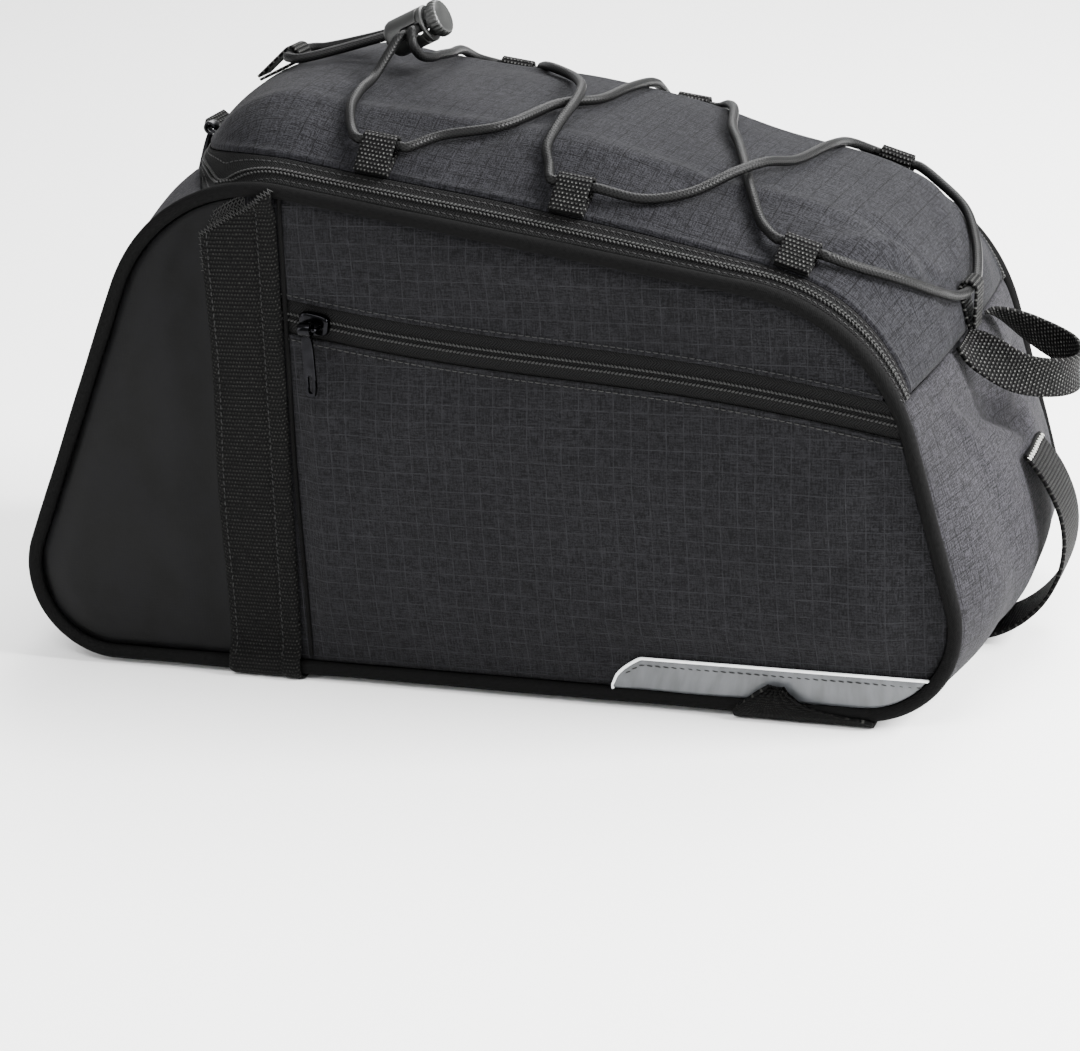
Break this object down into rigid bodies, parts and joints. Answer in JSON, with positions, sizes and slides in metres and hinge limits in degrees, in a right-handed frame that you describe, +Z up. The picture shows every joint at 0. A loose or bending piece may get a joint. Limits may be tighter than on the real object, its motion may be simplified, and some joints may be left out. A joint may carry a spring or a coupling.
{
  "type": "bicycle trunk bag",
  "caption": "Padded bag for a bicycle's rear rack, tapered to the front, with a zipped domed lid under a laced elastic cord, a side pocket, side piping and webbing straps.",
  "frame": {"origin": "on the floor, under the middle of the base pad", "axes": "+X along the bag towards its rear, +Z up, -Y towards the side with the pocket"},
  "size_m": [0.4028, 0.1925, 0.2486],
  "materials": {
    "ripstop": "matte ripstop weave",
    "padded_cloth": "matte padded cloth",
    "coated_cloth": "smooth coated cloth with a soft sheen",
    "piping_cloth": "matte woven piping",
    "zipper_tape": "herringbone zipper tape with a covered coil",
    "webbing": "ribbed webbing",
    "reflective_cloth": "grey retroreflective tape",
    "elastic_cord": "braided elastic cord",
    "black_plastic": "moulded, satin",
    "dark_metal": "black, glossy"
  },
  "bodies": {
    "bag": {"base_panel": "padded_cloth", "front_gusset": "ripstop", "rear_gusset": "ripstop", "side_wall_near": "padded_cloth", "side_wall_far": "padded_cloth", "zipper_band": "zipper_tape", "lid": "ripstop", "piping_near": "piping_cloth", "piping_far": "piping_cloth", "coated_panel_near": "coated_cloth", "coated_panel_far": "coated_cloth", "upper_panel_near": "ripstop", "pocket_zipper_near": "zipper_tape", "pocket_panel_near": "ripstop", "rear_panel_far": "ripstop", "reflector_near": "reflective_cloth", "reflector_far": "reflective_cloth", "rack_strap": "webbing", "base_strap": "webbing", "lid_loop_near_1": "webbing", "lid_loop_near_2": "webbing", "lid_loop_near_3": "webbing", "lid_loop_far_1": "webbing", "lid_loop_far_2": "webbing", "lid_loop_far_3": "webbing", "front_cord_loop": "webbing", "rear_cord_loop": "webbing", "grab_loop": "webbing", "light_strap": "webbing", "front_tab": "webbing", "bungee_cord": "elastic_cord", "cord_lock_barrel": "black_plastic", "main_slider": "dark_metal", "pocket_slider": "dark_metal"},
    "lock_button": {"cord_lock_button": "black_plastic"},
    "lid_zipper_puller": {"main_puller": "dark_metal"},
    "pocket_zipper_puller": {"pocket_puller": "dark_metal"}
  },
  "joints": [
    {"name": "lock_button_press", "type": "slide", "parent": "bag", "child": "lock_button", "axis": [-0.9184, 0, -0.3955], "range_m": [0, 0.002], "stiffness_N_per_m": 400, "springref_m": -0.002},
    {"name": "lid_puller_swing", "type": "hinge", "parent": "bag", "child": "lid_zipper_puller", "pos_m": [-0.13368, 0, 0.1977], "axis": [0, 1, 0], "range_deg": [0, 110]},
    {"name": "pocket_puller_swing", "type": "hinge", "parent": "bag", "child": "pocket_zipper_puller", "pos_m": [-0.0525, -0.0971, 0.14436], "axis": [-1, 0, 0], "range_deg": [0, 110]}
  ]
}
